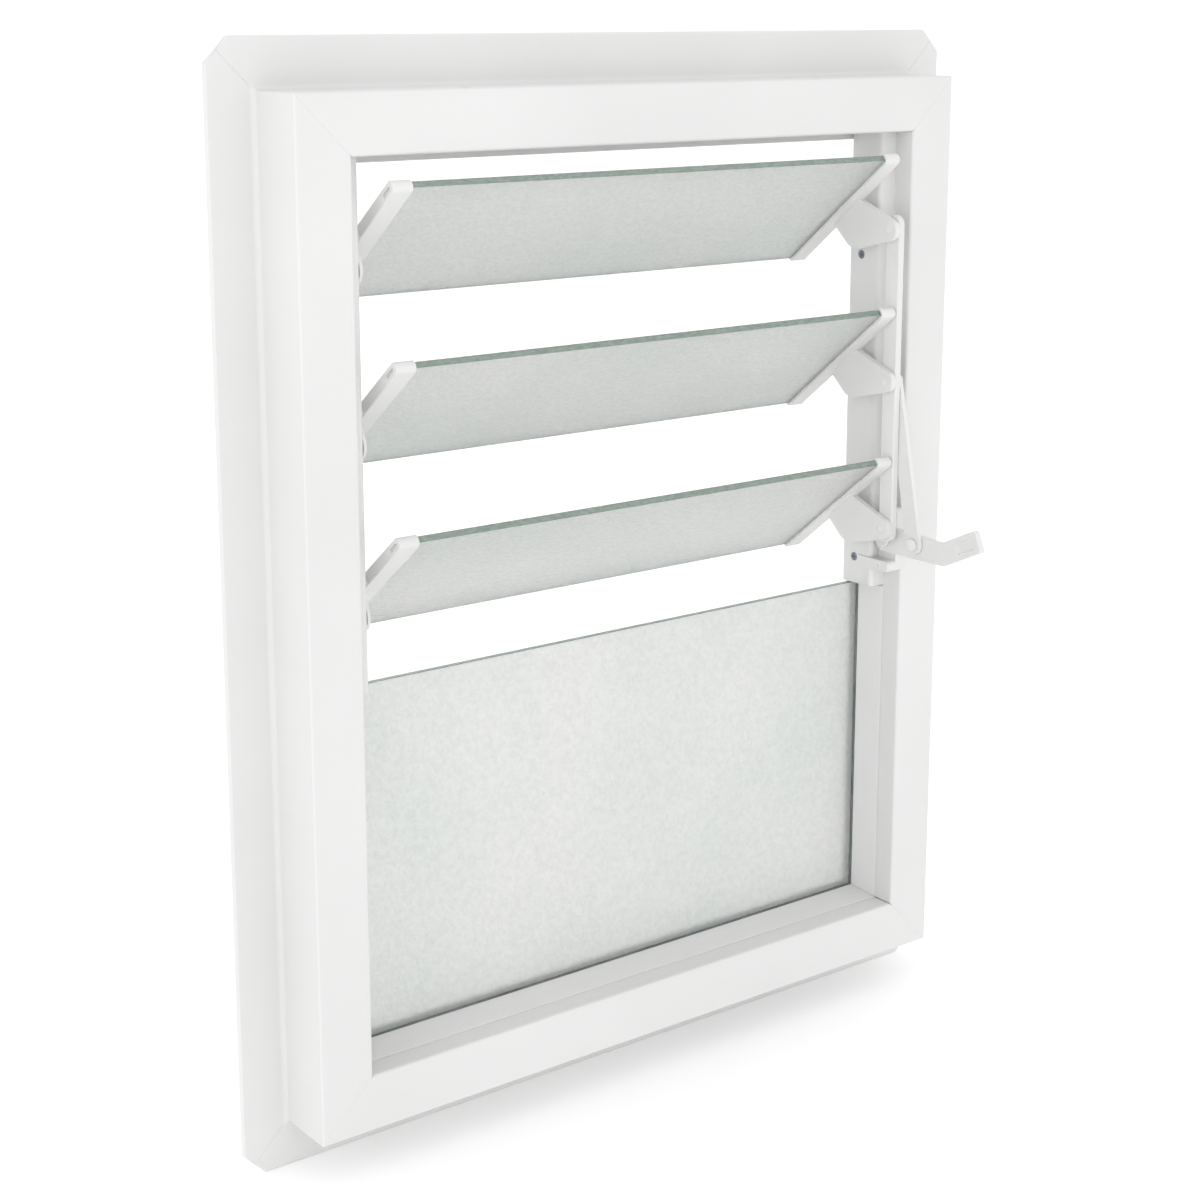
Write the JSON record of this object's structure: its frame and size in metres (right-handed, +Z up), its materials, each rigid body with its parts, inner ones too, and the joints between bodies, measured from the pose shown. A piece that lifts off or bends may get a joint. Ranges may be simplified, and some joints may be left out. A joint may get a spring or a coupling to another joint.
{
  "type": "louvre window",
  "caption": "White framed louvre window with tilting obscure glass blades over a fixed pane, worked together by a lever on the right jamb.",
  "frame": {"origin": "middle of the window's width and height, on the front of the wall flange", "axes": "+X to the right as seen from the room, +Y out through the wall, +Z up"},
  "size_m": [0.5, 0.1499, 0.6],
  "materials": {
    "white_upvc": "smooth white extruded plastic, satin",
    "white_nylon": "white moulded plastic, faint mould grain",
    "obscure_glass": "finely stippled obscure glass with green edges",
    "gasket_rubber": "dull dark grey seal",
    "zinc_steel": "zinc plated",
    "white_steel": "white painted rivets and screws"
  },
  "bodies": {
    "frame": {"frame_head": "white_upvc", "frame_sill": "white_upvc", "frame_jamb_left": "white_upvc", "frame_jamb_right": "white_upvc", "reinforcement_left": "zinc_steel", "reinforcement_right": "zinc_steel", "gallery_left": "white_nylon", "gallery_right": "white_nylon", "gallery_bushes_left": "white_nylon", "gallery_bushes_right": "white_nylon", "gallery_screws_left": "zinc_steel", "gallery_screws_right": "zinc_steel", "fixed_pane": "obscure_glass", "setting_blocks": "gasket_rubber", "glazing_bead_left": "white_upvc", "glazing_bead_right": "white_upvc", "glazing_bead_bottom": "white_upvc", "front_gasket_left": "gasket_rubber", "front_gasket_right": "gasket_rubber", "front_gasket_bottom": "gasket_rubber", "rear_gasket_left": "gasket_rubber", "rear_gasket_right": "gasket_rubber", "rear_gasket_bottom": "gasket_rubber", "handle_bracket": "white_nylon", "handle_bracket_screws": "white_steel", "handle_pivot_pin": "white_steel"},
    "louvre_1": {"louvre_1_glass": "obscure_glass", "louvre_1_clip_left": "white_nylon", "louvre_1_clip_right": "white_nylon", "louvre_1_pivot_pins": "zinc_steel", "louvre_1_link_pin": "white_steel"},
    "louvre_2": {"louvre_2_glass": "obscure_glass", "louvre_2_clip_left": "white_nylon", "louvre_2_clip_right": "white_nylon", "louvre_2_pivot_pins": "zinc_steel", "louvre_2_link_pin": "white_steel"},
    "louvre_3": {"louvre_3_glass": "obscure_glass", "louvre_3_clip_left": "white_nylon", "louvre_3_clip_right": "white_nylon", "louvre_3_pivot_pins": "zinc_steel", "louvre_3_link_pin": "white_steel"},
    "link_bar": {"link_bar": "white_nylon"},
    "handle": {"handle_lever": "white_nylon", "handle_crank_pin": "white_steel"},
    "drive_link": {"drive_link": "white_nylon"}
  },
  "joints": [
    {"name": "louvre_1_tilt", "type": "hinge", "parent": "frame", "child": "louvre_1", "pos_m": [0, -0.0145, 0.184], "axis": [1, 0, 0], "range_deg": [-46, 33]},
    {"name": "louvre_2_tilt", "type": "hinge", "parent": "frame", "child": "louvre_2", "pos_m": [0, -0.0145, 0.094], "axis": [1, 0, 0], "range_deg": [-46, 33]},
    {"name": "louvre_3_tilt", "type": "hinge", "parent": "frame", "child": "louvre_3", "pos_m": [0, -0.0145, 0.004], "axis": [1, 0, 0], "range_deg": [-46, 33]},
    {"name": "link_bar_swing", "type": "hinge", "parent": "louvre_2", "child": "link_bar", "pos_m": [0.1764, -0.0415, 0.0955], "axis": [1, 0, 0], "range_deg": [-33, 46]},
    {"name": "handle_turn", "type": "hinge", "parent": "frame", "child": "handle", "pos_m": [0.184, -0.0335, -0.0035], "axis": [1, 0, 0], "range_deg": [-46, 33]},
    {"name": "drive_link_swing", "type": "hinge", "parent": "handle", "child": "drive_link", "pos_m": [0.18, -0.0605, -0.002], "axis": [1, 0, 0], "range_deg": [-33, 46]}
  ],
  "couplings": [
    {"joint": "louvre_1_tilt", "follows": "louvre_2_tilt", "ratio": 1},
    {"joint": "louvre_3_tilt", "follows": "louvre_2_tilt", "ratio": 1},
    {"joint": "link_bar_swing", "follows": "louvre_2_tilt", "ratio": -1},
    {"joint": "handle_turn", "follows": "louvre_2_tilt", "ratio": 1},
    {"joint": "drive_link_swing", "follows": "louvre_2_tilt", "ratio": -1}
  ]
}
